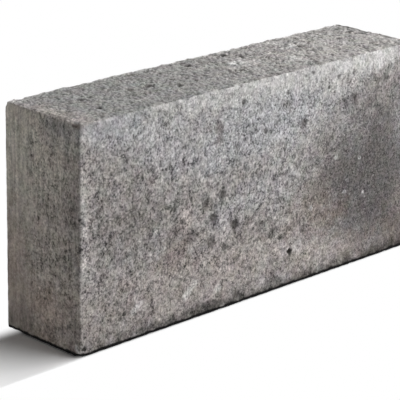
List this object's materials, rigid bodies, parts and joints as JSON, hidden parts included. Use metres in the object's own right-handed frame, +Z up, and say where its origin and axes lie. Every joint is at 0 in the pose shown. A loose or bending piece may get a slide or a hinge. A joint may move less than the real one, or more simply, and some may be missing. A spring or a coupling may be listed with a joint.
{
  "type": "solid concrete block",
  "caption": "Plain rectangular solid dense concrete block with lightly rounded, chipped arrises and a rough pressed surface, laid in mortar to build walls.",
  "frame": {"origin": "middle of the lower bed, on the floor", "axes": "+X along the length, +Y from the front face to the back face, +Z up from the lower bed to the upper bed"},
  "size_m": [0.44, 0.1, 0.215],
  "materials": {
    "concrete": "matte"
  },
  "bodies": {
    "root": {"block": "concrete"}
  },
  "joints": []
}
